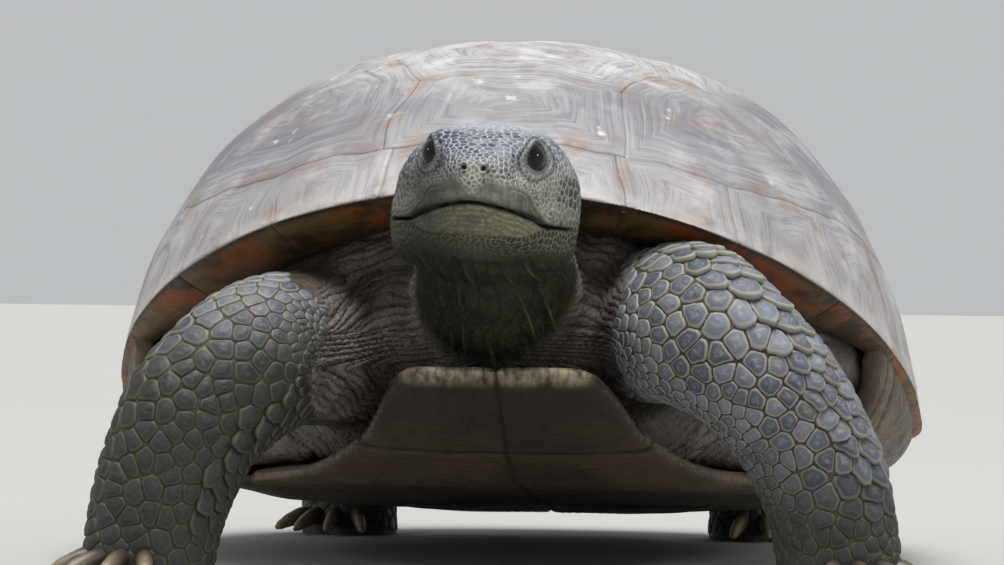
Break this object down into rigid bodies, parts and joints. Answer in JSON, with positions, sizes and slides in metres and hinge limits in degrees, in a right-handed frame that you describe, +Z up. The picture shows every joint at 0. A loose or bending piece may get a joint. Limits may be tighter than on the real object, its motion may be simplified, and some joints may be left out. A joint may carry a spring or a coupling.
{
  "type": "gopher tortoise",
  "caption": "Life-size still model of a gopher tortoise standing on all fours with its head raised, for museum-style display.",
  "frame": {"origin": "on the floor, under the middle of the whole animal's bounding box", "axes": "+Z up, +Y from the head towards the tail, so the head faces -Y, and +X towards the animal's left side"},
  "size_m": [0.2104, 0.3526, 0.133],
  "materials": {
    "carapace": "worn grey-brown horn with growth rings",
    "plastron": "yellow-brown horn, darker at the seams",
    "skin": "dry scaly skin, slate grey with tan seams",
    "eye": "glossy, near black"
  },
  "bodies": {
    "root": {"abdominal_left": "plastron", "abdominal_right": "plastron", "anal_left": "plastron", "anal_right": "plastron", "costal_left_1": "carapace", "costal_left_2": "carapace", "costal_left_3": "carapace", "costal_left_4": "carapace", "costal_right_1": "carapace", "costal_right_2": "carapace", "costal_right_3": "carapace", "costal_right_4": "carapace", "eye_left": "eye", "eye_right": "eye", "femoral_left": "plastron", "femoral_right": "plastron", "gular_left": "plastron", "gular_right": "plastron", "head": "skin", "humeral_left": "plastron", "humeral_right": "plastron", "leg_front_left": "skin", "leg_front_right": "skin", "leg_hind_left": "skin", "leg_hind_right": "skin", "marginal_left_1": "carapace", "marginal_left_10": "carapace", "marginal_left_11": "carapace", "marginal_left_2": "carapace", "marginal_left_3": "carapace", "marginal_left_4": "carapace", "marginal_left_5": "carapace", "marginal_left_6": "carapace", "marginal_left_7": "carapace", "marginal_left_8": "carapace", "marginal_left_9": "carapace", "marginal_right_1": "carapace", "marginal_right_10": "carapace", "marginal_right_11": "carapace", "marginal_right_2": "carapace", "marginal_right_3": "carapace", "marginal_right_4": "carapace", "marginal_right_5": "carapace", "marginal_right_6": "carapace", "marginal_right_7": "carapace", "marginal_right_8": "carapace", "marginal_right_9": "carapace", "neck": "skin", "nuchal": "carapace", "pectoral_left": "plastron", "pectoral_right": "plastron", "supracaudal": "carapace", "tail": "skin", "trunk": "skin", "vertebral_1": "carapace", "vertebral_2": "carapace", "vertebral_3": "carapace", "vertebral_4": "carapace", "vertebral_5": "carapace"}
  },
  "joints": []
}
